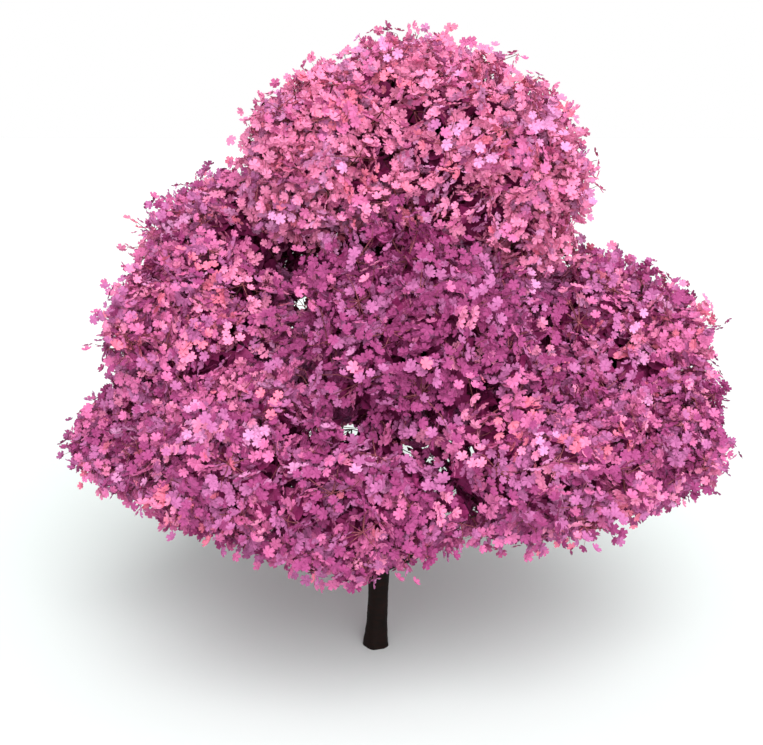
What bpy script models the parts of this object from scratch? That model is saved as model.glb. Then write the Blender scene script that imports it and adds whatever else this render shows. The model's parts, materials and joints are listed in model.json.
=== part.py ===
"""Japanese flowering cherry in full blossom: a short leaning trunk that forks low into
spreading boughs, each of which ends in a dense, rounded mass of blossom.

Run with: blender --background --python part.py
Units are metres, +Z is up, the origin is at the middle of the flat cut under the trunk.
The photographed side of the tree faces -Y, and its right-hand side is +X.
"""

import math
import random
from collections import namedtuple

import bmesh
import bpy
from mathutils import Matrix, Vector

# Driving dimensions of the trunk, from the ground up to its fork
GROUND_RADIUS = 0.130
WAIST_RADIUS = 0.100
FORK_RADIUS = 0.112
CUT_HEIGHT = 0.05
WAIST_HEIGHT = 0.50
FORK_HEIGHT = 1.02
TRUNK_HEIGHTS = (0.0, CUT_HEIGHT, 0.14, 0.28, WAIST_HEIGHT, 0.76, 0.92, FORK_HEIGHT)
ROOT_FLARE_POWER = 2.2
FORK_SWELL_POWER = 1.5
TRUNK_LEAN = 0.035
TRUNK_BOW = 0.012

# Driving dimensions of the boughs, and of the collars that limbs reach out to meet them
COLLAR_SWELL = 1.14
COLLAR_CLEARANCE = 0.02
LEADER_COLLAR_LENGTH = 0.22
JOINT_GAP = 0.0003
BOUGH_STEPS = 5
BOUGH_WANDER = 0.035
BOUGH_TAPER_POWER = 0.8
BOUGH_HEADING_KEPT = 0.3
BOUGH_ENTRY = 0.84
STEM_FOOT = 0.08
LIMB_SAMPLE_STEP = 0.04

# Driving dimensions of the blossom masses
MASS_GAP = 0.03
LIMB_CLEARANCE = 0.03
GROOVE_FILL = 2.4
MOST_BULGE = 1.45
REACH_HALVINGS = 10
CORE_SHARE = 0.70
CORE_LUMP = 0.12
CORE_WALL_CLEARANCE = 0.035
CORE_LIMB_CLEARANCE = 0.06
LEAST_CORE_REACH = 0.05
OPEN_SHARE = 0.80

# Driving dimensions of the twigs and of the blossom sprays that they carry
SPRAY_CANDIDATES = 56
SPRAY_TRIES = 6
SPRAY_RADIUS = (0.20, 0.26)
SPRAY_REACH = (0.90, 1.00)
SPRAY_TILT = 0.75
SPRAY_SPACING = 1.48
SPRAY_LOBES = 5
SPRAY_VALLEY = 0.60
SPRAY_CUP = 0.16
SPRAY_RISE = 0.16
SPRAY_DROP = 0.10
SPRAY_SET_BACK = 0.45
TWIG_SIDES = 3
TWIG_ROOT_RADIUS = 0.016
TWIG_TIP_RADIUS = 0.009
TWIG_ROOT_SUNK = 0.80
SIDE_TWIG_AT = (0.45, 0.70)
SIDE_TWIG_LENGTH = (0.20, 0.30)
SIDE_TWIG_FORWARD = 0.6
SIDE_SPRAY_SCALE = 0.72
SIDE_TWIG_SCALE = 0.75

SEED = 20

# A mass of blossom: where its middle is, as a compass bearing round the trunk (0 is +X,
# 90 is +Y, away from the photographed side), a reach from the trunk's axis and a height,
# and its half-width and half-height. Its bough leaves the trunk, or the bough of another
# mass, at a share of that limb's length, with a radius at each end and a rise in degrees.
Mass = namedtuple(
    "Mass", "place bearing reach height half_width half_height parent at rise root_radius tip_radius"
)

MASSES = (
    Mass("top", 40, 0.55, 5.12, 1.00, 0.86, "trunk", 1.00, 84, 0.078, 0.030),
    Mass("left", 190, 1.72, 3.30, 0.82, 0.78, "trunk", 0.95, 56, 0.060, 0.026),
    Mass("right", 2, 2.25, 3.05, 1.02, 0.90, "trunk", 0.95, 46, 0.060, 0.026),
    Mass("front_right", 315, 1.95, 2.45, 0.98, 0.74, "trunk", 0.82, 30, 0.048, 0.022),
    Mass("front_left", 228, 1.85, 2.45, 0.92, 0.68, "trunk", 0.84, 38, 0.050, 0.022),
    Mass("back", 90, 1.90, 2.50, 1.05, 0.90, "trunk", 0.86, 42, 0.056, 0.024),
    Mass("low_left", 180, 2.22, 2.15, 0.82, 0.56, "left", 0.28, 16, 0.036, 0.018),
    Mass("left_shoulder", 155, 1.60, 3.90, 0.85, 0.70, "left", 0.55, 60, 0.034, 0.018),
    Mass("front", 262, 1.55, 2.15, 0.90, 0.70, "front_left", 0.16, 30, 0.034, 0.018),
    Mass("low_right", 345, 2.54, 2.35, 0.80, 0.62, "right", 0.40, 12, 0.034, 0.018),
    Mass("back_right", 45, 2.00, 2.75, 1.05, 0.92, "back", 0.12, 46, 0.040, 0.020),
    Mass("back_left", 135, 2.00, 2.40, 1.05, 0.85, "back", 0.30, 40, 0.038, 0.020),
    Mass("centre", 285, 1.15, 3.45, 1.00, 0.90, "top", 0.28, 42, 0.040, 0.020),
    Mass("upper_back", 80, 1.10, 3.90, 0.95, 0.85, "top", 0.38, 48, 0.038, 0.020),
    Mass("top_right", 350, 1.12, 4.68, 0.86, 0.84, "top", 0.52, 50, 0.036, 0.018),
    Mass("top_left", 200, 0.50, 4.92, 0.86, 0.86, "top", 0.60, 56, 0.034, 0.018),
)

# How finely a limb's round section is cut, as (least radius, bevel resolution)
BEVEL_RESOLUTIONS = ((0.09, 4), (0.045, 2), (0.0, 1))
SMOOTH_ANGLE = math.radians(40)


def clear_scene():
    """Removes the objects of the scene that the script starts in."""
    for thing in list(bpy.data.objects):
        bpy.data.objects.remove(thing)


def make_material(name, colour, roughness):
    """A plain Principled material: nothing on a tree is metallic."""
    material = bpy.data.materials.new(name)
    material.use_nodes = True
    shader = material.node_tree.nodes["Principled BSDF"]
    shader.inputs["Base Color"].default_value = (*colour, 1.0)
    shader.inputs["Roughness"].default_value = roughness
    shader.inputs["Metallic"].default_value = 0.0
    return material


def centre_of(mass):
    """The middle of a mass's space."""
    bearing = math.radians(mass.bearing)
    return Vector((mass.reach * math.cos(bearing), mass.reach * math.sin(bearing), mass.height))


def scaled(mass, direction):
    """A unit direction stretched to the mass's half-width and half-height."""
    width, rise = mass.half_width, mass.half_height
    return Vector((direction.x * width, direction.y * width, direction.z * rise))


def unscaled(mass, offset):
    """An offset from the mass's middle, as a share of its half-sizes."""
    width, rise = mass.half_width, mass.half_height
    return Vector((offset.x / width, offset.y / width, offset.z / rise))


def walls_of(mass):
    """The planes that part a mass's space from its neighbours', as (point, outward normal)."""
    middle = centre_of(mass)
    walls = []
    for other in MASSES:
        if other is mass:
            continue
        across = centre_of(other) - middle
        own = 1.0 / unscaled(mass, across).length
        theirs = 1.0 / unscaled(other, across).length
        normal = across.normalized()
        meeting = middle + across * (own / (own + theirs))
        walls.append((meeting - normal * (MASS_GAP / 2), normal))
    return walls


def fullness(point):
    """Over 1 inside the crown, which is the masses' ellipsoids with the grooves between them filled."""
    return sum(
        math.exp(GROOVE_FILL * (1 - unscaled(mass, point - centre_of(mass)).length_squared))
        for mass in MASSES
    )


def inside(walls, point):
    """Whether a point lies in the crown, within a mass's walls."""
    return fullness(point) >= 1 and all((point - foot).dot(normal) < 0 for foot, normal in walls)


def crown_reach(mass, direction):
    """How far it is from a mass's middle along a unit direction to the crown's surface."""
    middle = centre_of(mass)
    near = 1.0 / unscaled(mass, direction).length
    far = near * MOST_BULGE
    if fullness(middle + direction * far) >= 1:
        return far
    for _ in range(REACH_HALVINGS):
        half = (near + far) / 2
        if fullness(middle + direction * half) >= 1:
            near = half
        else:
            far = half
    return near


def wall_reach(mass, walls, direction):
    """How far it is along a unit direction to the first plane shared with a neighbour."""
    middle = centre_of(mass)
    reaches = [
        (foot - middle).dot(normal) / direction.dot(normal)
        for foot, normal in walls
        if direction.dot(normal) > 1e-6
    ]
    return min(reaches, default=math.inf)


def hermite(start, leaving, end, arriving, count):
    """Points along a smooth curve, after its start, up to and including its end."""
    points = []
    for step in range(1, count + 1):
        t = step / count
        points.append(
            start * (2 * t**3 - 3 * t**2 + 1)
            + leaving * (t**3 - 2 * t**2 + t)
            + end * (3 * t**2 - 2 * t**3)
            + arriving * (t**3 - t**2)
        )
    return points


def along(path, radii, share):
    """The point, direction and radius at a share of a limb's length."""
    lengths = [(b - a).length for a, b in zip(path, path[1:])]
    left = share * sum(lengths)
    for step, length in enumerate(lengths):
        if left <= length or step == len(lengths) - 1:
            break
        left -= length
    part = min(left / length, 1.0)
    a, b = path[step], path[step + 1]
    return a.lerp(b, part), (b - a).normalized(), radii[step] + (radii[step + 1] - radii[step]) * part


def trunk_path():
    """Heights, lean and radii of the trunk, from its flat cut to its fork."""
    points, radii = [], []
    for height in TRUNK_HEIGHTS:
        rise = height / FORK_HEIGHT
        lean = TRUNK_LEAN * rise**2 + TRUNK_BOW * math.sin(math.pi * rise)
        points.append(Vector((lean if height > CUT_HEIGHT else 0.0, 0.0, height)))
        if height <= WAIST_HEIGHT:
            flare = (1 - height / WAIST_HEIGHT) ** ROOT_FLARE_POWER
            radii.append(WAIST_RADIUS + (GROUND_RADIUS - WAIST_RADIUS) * flare)
        else:
            swell = ((height - WAIST_HEIGHT) / (FORK_HEIGHT - WAIST_HEIGHT)) ** FORK_SWELL_POWER
            radii.append(WAIST_RADIUS + (FORK_RADIUS - WAIST_RADIUS) * swell)
    return points, radii


def collar_of(mass, limb):
    """Where a mass's bough leaves its limb, in which direction, and how far out it starts."""
    origin, heading, girth = along(*limb, mass.at)
    away = centre_of(mass) - origin
    rise = math.radians(mass.rise)
    flat = Vector((away.x, away.y, 0.0)).normalized()
    leaving = flat * math.cos(rise) + Vector((0, 0, math.sin(rise)))
    if mass.at == 1.0:
        return origin, leaving, LEADER_COLLAR_LENGTH
    room = girth + mass.root_radius * COLLAR_SWELL + COLLAR_CLEARANCE
    return origin, leaving, room / math.sin(leaving.angle(heading))


def bough_path(mass, origin, leaving, length):
    """A bough's centreline, from its collar's end to where it enters its mass."""
    rng = random.Random(f"{SEED} bough {mass.place}")
    middle = centre_of(mass)
    start = origin + leaving * (length + JOINT_GAP)
    second = start + leaving * length * 0.5
    facing = unscaled(mass, start - middle).normalized()
    end = middle + scaled(mass, facing) * BOUGH_ENTRY
    span = (end - second).length
    arriving = (middle - end).normalized().lerp(leaving, BOUGH_HEADING_KEPT).normalized()
    curve = hermite(second, leaving * span, end, arriving * span, BOUGH_STEPS)
    for point in curve[:-1]:
        point += random_direction(rng) * BOUGH_WANDER
    return [start, second] + curve


def plan_limbs():
    """Every bough's centreline and radii, and the collars that each limb carries for its boughs."""
    points, radii = trunk_path()
    limbs = {"trunk": (points, radii)}
    collars = {"trunk": []}
    for mass in MASSES:
        origin, leaving, length = collar_of(mass, limbs[mass.parent])
        path = bough_path(mass, origin, leaving, length)
        steps = len(path) - 1
        taper = [
            mass.root_radius + (mass.tip_radius - mass.root_radius) * (i / steps) ** BOUGH_TAPER_POWER
            for i in range(steps + 1)
        ]
        limbs[mass.place] = (path, taper)
        collars[mass.place] = []
        collars[mass.parent].append((origin, leaving, length, mass.root_radius))
    return limbs, collars


def resolution_of(radius):
    """The bevel resolution of a limb that starts at this radius."""
    return next(resolution for least, resolution in BEVEL_RESOLUTIONS if radius >= least)


def tube(name, points, radii, resolution):
    """A round, tapering tube with flat ends, as a mesh object."""
    curve = bpy.data.curves.new(name, "CURVE")
    curve.dimensions = "3D"
    curve.bevel_depth = 1.0
    curve.bevel_resolution = resolution
    curve.use_fill_caps = True
    spline = curve.splines.new("POLY")
    spline.points.add(len(points) - 1)
    for knot, point, radius in zip(spline.points, points, radii):
        knot.co = (*point, 1.0)
        knot.radius = radius
    guide = bpy.data.objects.new(name, curve)
    bpy.context.scene.collection.objects.link(guide)
    graph = bpy.context.evaluated_depsgraph_get()
    mesh = bpy.data.meshes.new_from_object(guide.evaluated_get(graph))
    bpy.data.objects.remove(guide)
    bpy.data.curves.remove(curve)
    mesh.name = name
    weld = bmesh.new()
    weld.from_mesh(mesh)
    bmesh.ops.remove_doubles(weld, verts=weld.verts, dist=1e-5)
    bmesh.ops.recalc_face_normals(weld, faces=weld.faces)
    weld.to_mesh(mesh)
    weld.free()
    made = bpy.data.objects.new(name, mesh)
    bpy.context.scene.collection.objects.link(made)
    return made


def fuse(base, pieces):
    """Joins the pieces to the base by one Boolean union, and keeps its one outer body."""
    if pieces:
        holder = bpy.data.collections.new(base.name + "_pieces")
        bpy.context.scene.collection.children.link(holder)
        for piece in pieces:
            bpy.context.scene.collection.objects.unlink(piece)
            holder.objects.link(piece)
        union = base.modifiers.new("Union", "BOOLEAN")
        union.operation = "UNION"
        union.operand_type = "COLLECTION"
        union.collection = holder
        union.solver = "EXACT"
        graph = bpy.context.evaluated_depsgraph_get()
        mesh = bpy.data.meshes.new_from_object(base.evaluated_get(graph))
        base.modifiers.clear()
        base.data = mesh
        for piece in pieces:
            bpy.data.objects.remove(piece)
        bpy.data.collections.remove(holder)
    keep_outer_body(base.data)
    return base


def keep_outer_body(mesh):
    """Drops loose scraps and sealed hollows, which are every island but the largest."""
    work = bmesh.new()
    work.from_mesh(mesh)
    waiting = set(work.faces)
    islands = []
    while waiting:
        island, edge = set(), [waiting.pop()]
        while edge:
            face = edge.pop()
            island.add(face)
            near = {other for side in face.edges for other in side.link_faces} & waiting
            waiting -= near
            edge.extend(near)
        islands.append(island)
    largest = max(islands, key=len)
    scraps = [face for face in work.faces if face not in largest]
    bmesh.ops.delete(work, geom=scraps, context="FACES")
    work.to_mesh(mesh)
    work.free()


def finish(thing, material, smooth=True):
    """Gives an object its one material and its shading."""
    thing.data.materials.clear()
    thing.data.materials.append(material)
    if smooth:
        thing.data.shade_smooth()
        thing.data.set_sharp_from_angle(angle=SMOOTH_ANGLE)


def make_limb(name, path, radii, collars, bark):
    """The trunk or a bough, with a short collar for each bough that leaves it."""
    limb = tube(name, path, radii, resolution_of(radii[0]))
    stubs = []
    for number, (origin, leaving, length, radius) in enumerate(collars):
        points = [origin, origin + leaving * length * 0.5, origin + leaving * length]
        swell = [radius * COLLAR_SWELL, radius * COLLAR_SWELL, radius]
        stubs.append(tube(f"{name}_collar_{number}", points, swell, resolution_of(radius)))
    fuse(limb, stubs)
    finish(limb, bark)


def limb_samples(limbs):
    """Points and radii down the middle of every limb, close enough together to test against."""
    samples = []
    for path, radii in limbs.values():
        for a, b, start, end in zip(path, path[1:], radii, radii[1:]):
            count = math.ceil((b - a).length / LIMB_SAMPLE_STEP)
            for step in range(count + 1):
                t = step / count
                samples.append((a.lerp(b, t), start + (end - start) * t))
    return samples


def clear_of_limbs(samples, point, reach):
    """Whether a ball of radius `reach` round a point keeps the limb clearance."""
    return all((point - middle).length > radius + LIMB_CLEARANCE + reach for middle, radius in samples)


def core_of(mass, walls, samples, rng):
    """The lumpy inner body of a mass, cut back from its neighbours and from every limb."""
    middle = centre_of(mass)
    work = bmesh.new()
    bmesh.ops.create_icosphere(work, subdivisions=2, radius=1.0)
    for vertex in work.verts:
        direction = vertex.co.normalized()
        reach = crown_reach(mass, direction) * CORE_SHARE * (1 + rng.uniform(-CORE_LUMP, CORE_LUMP))
        wall = wall_reach(mass, walls, direction) - CORE_WALL_CLEARANCE
        reach = min(reach, wall * (1 - rng.uniform(0, CORE_LUMP)))
        for point, radius in samples:
            offset = point - middle
            towards = direction.dot(offset.normalized())
            room = offset.length - radius - CORE_LIMB_CLEARANCE
            if towards > 0.2 and room < reach * towards:
                reach = max(room / towards, LEAST_CORE_REACH)
        vertex.co = middle + direction * reach
    mesh = bpy.data.meshes.new("core")
    work.to_mesh(mesh)
    work.free()
    core = bpy.data.objects.new("core", mesh)
    bpy.context.scene.collection.objects.link(core)
    return core


def spray_on_twig(root, tip, facing, radius, girth=1.0):
    """A twig that opens into a lobed blossom spray: (points, faces) of one closed shape.

    The spray is a shallow, cupped star. Its rim runs from lobe tip to valley to lobe tip,
    its upper side rises to an apex, and its underside closes onto the end of the twig.
    """
    axis = (tip - root).normalized()
    across = facing.orthogonal().normalized()
    beside = facing.cross(across)
    corners = 2 * SPRAY_LOBES
    points = []
    for corner in range(corners):
        angle = 2 * math.pi * corner / corners
        size, lift = (1.0, SPRAY_CUP) if corner % 2 == 0 else (SPRAY_VALLEY, 0.0)
        outward = across * math.cos(angle) + beside * math.sin(angle)
        points.append(tip + outward * radius * size + facing * radius * lift)
    points.append(tip + facing * radius * SPRAY_RISE)
    underside = tip - facing * radius * SPRAY_DROP
    for end, thickness in ((underside, TWIG_TIP_RADIUS), (root, TWIG_ROOT_RADIUS)):
        for side in range(TWIG_SIDES):
            angle = 2 * math.pi * side / TWIG_SIDES
            outward = across * math.cos(angle) + beside * math.sin(angle)
            if end is root:
                outward = (outward - axis * outward.dot(axis)).normalized()
            points.append(end + outward * thickness * girth)
    apex, collar, base = corners, corners + 1, corners + 1 + TWIG_SIDES
    faces = [(corner, (corner + 1) % corners, apex) for corner in range(corners)]
    nearest = [round(corner * TWIG_SIDES / corners + 1e-6) % TWIG_SIDES for corner in range(corners)]
    for corner in range(corners):
        after = (corner + 1) % corners
        faces.append((after, corner, collar + nearest[corner]))
        if nearest[after] != nearest[corner]:
            faces.append((after, collar + nearest[corner], collar + nearest[after]))
    for side in range(TWIG_SIDES):
        after = (side + 1) % TWIG_SIDES
        faces.append((collar + after, collar + side, base + side))
        faces.append((collar + after, base + side, base + after))
    faces.append(tuple(base + side for side in range(TWIG_SIDES)))
    return points, faces


def closed_piece(points, faces):
    """A mesh object of a closed shape, with its faces turned outward."""
    mesh = bpy.data.meshes.new("spray")
    mesh.from_pydata(points, [], faces)
    work = bmesh.new()
    work.from_mesh(mesh)
    bmesh.ops.recalc_face_normals(work, faces=work.faces)
    work.to_mesh(mesh)
    work.free()
    made = bpy.data.objects.new("spray", mesh)
    bpy.context.scene.collection.objects.link(made)
    return made


def random_direction(rng):
    """A unit vector, even over the sphere."""
    height = rng.uniform(-1, 1)
    angle = rng.uniform(0, 2 * math.pi)
    width = math.sqrt(1 - height * height)
    return Vector((width * math.cos(angle), width * math.sin(angle), height))


def even_directions(count, rng):
    """Unit vectors spread evenly over the sphere by the golden angle, turned by the seed."""
    turn = Matrix.Rotation(rng.uniform(0, 2 * math.pi), 3, random_direction(rng))
    golden = math.pi * (3 - math.sqrt(5))
    directions = []
    for number in range(count):
        height = 1 - 2 * (number + 0.5) / count
        width = math.sqrt(1 - height * height)
        angle = golden * number
        directions.append(turn @ Vector((width * math.cos(angle), width * math.sin(angle), height)))
    return directions


def fits(walls, samples, taken, root, tip, radius, points):
    """Whether a twig and its spray stay in their space, off every limb and the sprays before."""
    if any((tip - other).length < SPRAY_SPACING * (radius + size) / 2 for other, size in taken):
        return False
    if not clear_of_limbs(samples, tip, radius):
        return False
    if not all(clear_of_limbs(samples, root.lerp(tip, share), TWIG_ROOT_RADIUS) for share in (0.4, 0.7)):
        return False
    rim = points[: 2 * SPRAY_LOBES]
    return all(inside(walls, point) for point in rim)


def outer_spray(mass, walls, samples, taken, direction, rng):
    """A spray on a twig out of the core along a direction: (root, tip, points, faces), or None."""
    middle = centre_of(mass)
    reach = crown_reach(mass, direction)
    if wall_reach(mass, walls, direction) < reach * OPEN_SHARE:
        return None
    for _ in range(SPRAY_TRIES):
        radius = rng.uniform(*SPRAY_RADIUS)
        facing = (direction + random_direction(rng) * SPRAY_TILT).normalized()
        tip = middle + direction * (reach * rng.uniform(*SPRAY_REACH) - radius * SPRAY_SET_BACK)
        root = middle + direction * reach * CORE_SHARE * TWIG_ROOT_SUNK
        points, faces = spray_on_twig(root, tip, facing, radius)
        if fits(walls, samples, taken, root, tip, radius, points):
            taken.append((tip, radius))
            return root, tip, points, faces
    return None


def side_spray(walls, samples, taken, root, tip, rng):
    """A smaller spray on a twig that forks off another twig: (points, faces), or None."""
    direction = (tip - root).normalized()
    for _ in range(SPRAY_TRIES):
        radius = rng.uniform(*SPRAY_RADIUS) * SIDE_SPRAY_SCALE
        sideways = direction.cross(random_direction(rng)).normalized()
        heading = (sideways + direction * SIDE_TWIG_FORWARD).normalized()
        fork = root.lerp(tip, rng.uniform(*SIDE_TWIG_AT))
        end = fork + heading * rng.uniform(*SIDE_TWIG_LENGTH)
        facing = (heading + random_direction(rng) * SPRAY_TILT).normalized()
        points, faces = spray_on_twig(fork, end, facing, radius, SIDE_TWIG_SCALE)
        if fits(walls, samples, taken, fork, end, radius, points):
            taken.append((end, radius))
            return points, faces
    return None


def grow_mass(mass, walls, limb, samples, blossom):
    """A mass of blossom: a stem from the bough's tip, a core on it, and twigs with sprays."""
    rng = random.Random(f"{SEED} {mass.place}")
    path, radii = limb
    heading = (path[-1] - path[-2]).normalized()
    foot = path[-1] + heading * JOINT_GAP
    stem = tube(
        f"blossom_{mass.place}",
        [foot, foot + heading * STEM_FOOT, centre_of(mass)],
        [radii[-1], radii[-1] * 0.95, radii[-1] * 0.6],
        resolution_of(radii[-1]),
    )
    pieces = [core_of(mass, walls, samples, rng)]
    taken, forks = [], []
    for direction in even_directions(SPRAY_CANDIDATES, rng):
        grown = outer_spray(mass, walls, samples, taken, direction, rng)
        if grown:
            root, tip, points, faces = grown
            forks.append((root, tip))
            pieces.append(closed_piece(points, faces))
    for root, tip in forks:
        grown = side_spray(walls, samples, taken, root, tip, rng)
        if grown:
            pieces.append(closed_piece(*grown))
    fuse(stem, pieces)
    finish(stem, blossom, smooth=False)


def main():
    clear_scene()
    bark = make_material("bark", (0.020, 0.012, 0.010), 0.75)
    blossom = make_material("blossom", (0.72, 0.17, 0.36), 0.60)
    limbs, collars = plan_limbs()
    samples = limb_samples(limbs)
    make_limb("trunk", *limbs["trunk"], collars["trunk"], bark)
    for mass in MASSES:
        make_limb(f"bough_{mass.place}", *limbs[mass.place], collars[mass.place], bark)
    for mass in MASSES:
        grow_mass(mass, walls_of(mass), limbs[mass.place], samples, blossom)


main()
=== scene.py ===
"""Looks of the japanese flowering cherry.

Bark with its relief covers the trunk and the boughs. Blossom grows on from them, from bough to
branch, twig, spray and flower. Units are metres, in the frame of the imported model: +Z is up, and
the photographed side faces -Y.
"""

import json
import math
import random
from collections import namedtuple

import bmesh
import bpy
import numpy as np
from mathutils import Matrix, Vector, noise

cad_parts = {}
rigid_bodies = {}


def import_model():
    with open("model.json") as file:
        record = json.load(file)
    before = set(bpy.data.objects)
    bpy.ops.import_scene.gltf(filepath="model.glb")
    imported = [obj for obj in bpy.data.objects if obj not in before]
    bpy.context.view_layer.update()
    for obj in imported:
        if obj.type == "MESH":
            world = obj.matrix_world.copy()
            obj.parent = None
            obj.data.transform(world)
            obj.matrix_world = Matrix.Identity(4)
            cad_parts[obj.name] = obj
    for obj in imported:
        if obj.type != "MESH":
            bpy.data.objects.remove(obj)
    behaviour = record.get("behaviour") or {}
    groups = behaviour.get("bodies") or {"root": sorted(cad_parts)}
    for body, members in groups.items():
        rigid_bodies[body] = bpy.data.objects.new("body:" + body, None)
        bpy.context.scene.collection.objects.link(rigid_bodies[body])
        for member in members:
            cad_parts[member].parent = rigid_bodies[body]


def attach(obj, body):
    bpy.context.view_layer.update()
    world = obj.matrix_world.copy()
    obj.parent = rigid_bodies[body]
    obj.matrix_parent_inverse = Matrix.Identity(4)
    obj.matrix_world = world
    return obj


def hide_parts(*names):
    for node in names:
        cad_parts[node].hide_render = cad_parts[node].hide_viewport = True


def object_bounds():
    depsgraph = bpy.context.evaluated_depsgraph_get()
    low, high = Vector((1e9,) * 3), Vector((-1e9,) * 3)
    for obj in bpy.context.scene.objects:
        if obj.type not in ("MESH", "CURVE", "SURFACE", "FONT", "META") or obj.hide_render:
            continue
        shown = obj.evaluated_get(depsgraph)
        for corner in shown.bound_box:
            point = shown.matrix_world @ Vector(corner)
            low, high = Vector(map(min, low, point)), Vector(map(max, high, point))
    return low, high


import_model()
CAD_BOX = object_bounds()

# For the random draws and the arithmetic of directions
SEED = 20
GOLDEN_ANGLE = math.pi * (3 - math.sqrt(5))
NEARLY_UPRIGHT = 0.9
TINY = 1e-6
LEAST_LENGTH = 1e-9

# The trunk, from the ground up to its fork, as in the part
GROUND_RADIUS = 0.130
WAIST_RADIUS = 0.100
FORK_RADIUS = 0.112
CUT_HEIGHT = 0.05
WAIST_HEIGHT = 0.50
FORK_HEIGHT = 1.02
TRUNK_HEIGHTS = (0.0, CUT_HEIGHT, 0.14, 0.28, WAIST_HEIGHT, 0.76, 0.92, FORK_HEIGHT)
ROOT_FLARE_POWER = 2.2
FORK_SWELL_POWER = 1.5
TRUNK_LEAN = 0.035
TRUNK_BOW = 0.012

# The boughs and their collars, as in the part
COLLAR_SWELL = 1.14
COLLAR_CLEARANCE = 0.02
LEADER_COLLAR_LENGTH = 0.22
JOINT_GAP = 0.0003
BOUGH_STEPS = 5
BOUGH_WANDER = 0.035
BOUGH_TAPER_POWER = 0.8
BOUGH_HEADING_KEPT = 0.3
BOUGH_ENTRY = 0.84
LIMB_SAMPLE_STEP = 0.06

# The crown's surface and the walls between its masses, as in the part, with fuller grooves
MASS_GAP = 0.03
GROOVE_FILL = 1.35
MOST_BULGE = 1.45
REACH_HALVINGS = 10

# A mass of blossom, as in the part: its bearing and reach from the trunk, its height and
# half-sizes, and its bough's parent, place on it, rise in degrees and radii
Mass = namedtuple(
    "Mass", "place bearing reach height half_width half_height parent at rise root_radius tip_radius"
)
MASSES = (
    Mass("top", 40, 0.55, 5.12, 1.00, 0.86, "trunk", 1.00, 84, 0.078, 0.030),
    Mass("left", 190, 1.72, 3.30, 0.82, 0.78, "trunk", 0.95, 56, 0.060, 0.026),
    Mass("right", 2, 2.25, 3.05, 1.02, 0.90, "trunk", 0.95, 46, 0.060, 0.026),
    Mass("front_right", 315, 1.95, 2.45, 0.98, 0.74, "trunk", 0.82, 30, 0.048, 0.022),
    Mass("front_left", 228, 1.85, 2.45, 0.92, 0.68, "trunk", 0.84, 38, 0.050, 0.022),
    Mass("back", 90, 1.90, 2.50, 1.05, 0.90, "trunk", 0.86, 42, 0.056, 0.024),
    Mass("low_left", 180, 2.22, 2.15, 0.82, 0.56, "left", 0.28, 16, 0.036, 0.018),
    Mass("left_shoulder", 155, 1.60, 3.90, 0.85, 0.70, "left", 0.55, 60, 0.034, 0.018),
    Mass("front", 262, 1.55, 2.15, 0.90, 0.70, "front_left", 0.16, 30, 0.034, 0.018),
    Mass("low_right", 345, 2.54, 2.35, 0.80, 0.62, "right", 0.40, 12, 0.034, 0.018),
    Mass("back_right", 45, 2.00, 2.75, 1.05, 0.92, "back", 0.12, 46, 0.040, 0.020),
    Mass("back_left", 135, 2.00, 2.40, 1.05, 0.85, "back", 0.30, 40, 0.038, 0.020),
    Mass("centre", 285, 1.15, 3.45, 1.00, 0.90, "top", 0.28, 42, 0.040, 0.020),
    Mass("upper_back", 80, 1.10, 3.90, 0.95, 0.85, "top", 0.38, 48, 0.038, 0.020),
    Mass("top_right", 350, 1.12, 4.68, 0.86, 0.84, "top", 0.52, 50, 0.036, 0.018),
    Mass("top_left", 200, 0.50, 4.92, 0.86, 0.86, "top", 0.60, 56, 0.034, 0.018),
)

# The bark's mesh: ring spacing and sides
RING_SPACING = 0.022
TRUNK_SIDES = 72
LEAST_SIDES = 14
SIDES_PER_RADIUS = 520

# The bark's relief, as shares of the limb's radius, and how often it repeats across and upward
FURROW_DEPTH = 0.0225
FURROWS_ACROSS = 22
FURROWS_UPWARD = 6
FURROW_ROUGHNESS = 0.9
FURROW_LACUNARITY = 2.1
FURROW_OCTAVES = 3
LENTICEL_DEPTH = 0.04
LENTICELS_ACROSS = 14
LENTICELS_UPWARD = 75
LENTICEL_LEVEL = 0.1
BUTTRESS_DEPTH = 0.04
BUTTRESSES = 5
BUTTRESS_TURN = 0.6

# The stem that carries on from a bough's tip, and the branches that fan out from its end
STEM_OVERLAP = 0.05
STEM_TAPER = (0.98, 0.98, 0.85, 0.7)
STEM_SIDES = 8
BRANCHES = 40
BRANCH_POINTS = 7
BRANCH_SIDES = 4
BRANCH_REACH = 0.80
BRANCH_WALL_SHARE = 0.92
BRANCH_RADIUS = (0.017, 0.006)
BRANCH_WANDER = 0.05

# Twigs, which leave a branch's outer points, and the stalks of some flowers
TWIG_FROM = 3
TWIG_POINTS = 3
TWIG_SIDES = 3
TWIG_RADIUS = (0.0055, 0.0028)
TWIG_LEAD = 0.45
TWIG_WANDER = 0.08
STALK_RADIUS = (0.0024, 0.0016)
STALK_SHARE = 0.12
STALK_END = 0.002

# Layers of sprays, outermost first: how many a whole mass would have, the span of the
# crown's reach they sit in, and how many flowers or blades a spray has
Layer = namedtuple("Layer", "count reach members")
FLOWER_LAYERS = (
    Layer(150, (0.96, 1.09), 4),
    Layer(390, (0.76, 0.92), 8),
    Layer(160, (0.66, 0.78), 6),
)
INNER_LAYERS = (
    Layer(300, (0.50, 0.66), 3),
    Layer(100, (0.30, 0.50), 3),
)

# Where sprays sit: the crown's lumps, its trimmed underside and the room they keep
SITE_JITTER = 0.04
SITE_MARGIN = 0.03
SITE_CLEARANCE = 0.05
LUMP_DEPTH = 0.13
LUMP_SIZE = 2.4
UNDERSIDE_TRIM = 0.20

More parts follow.
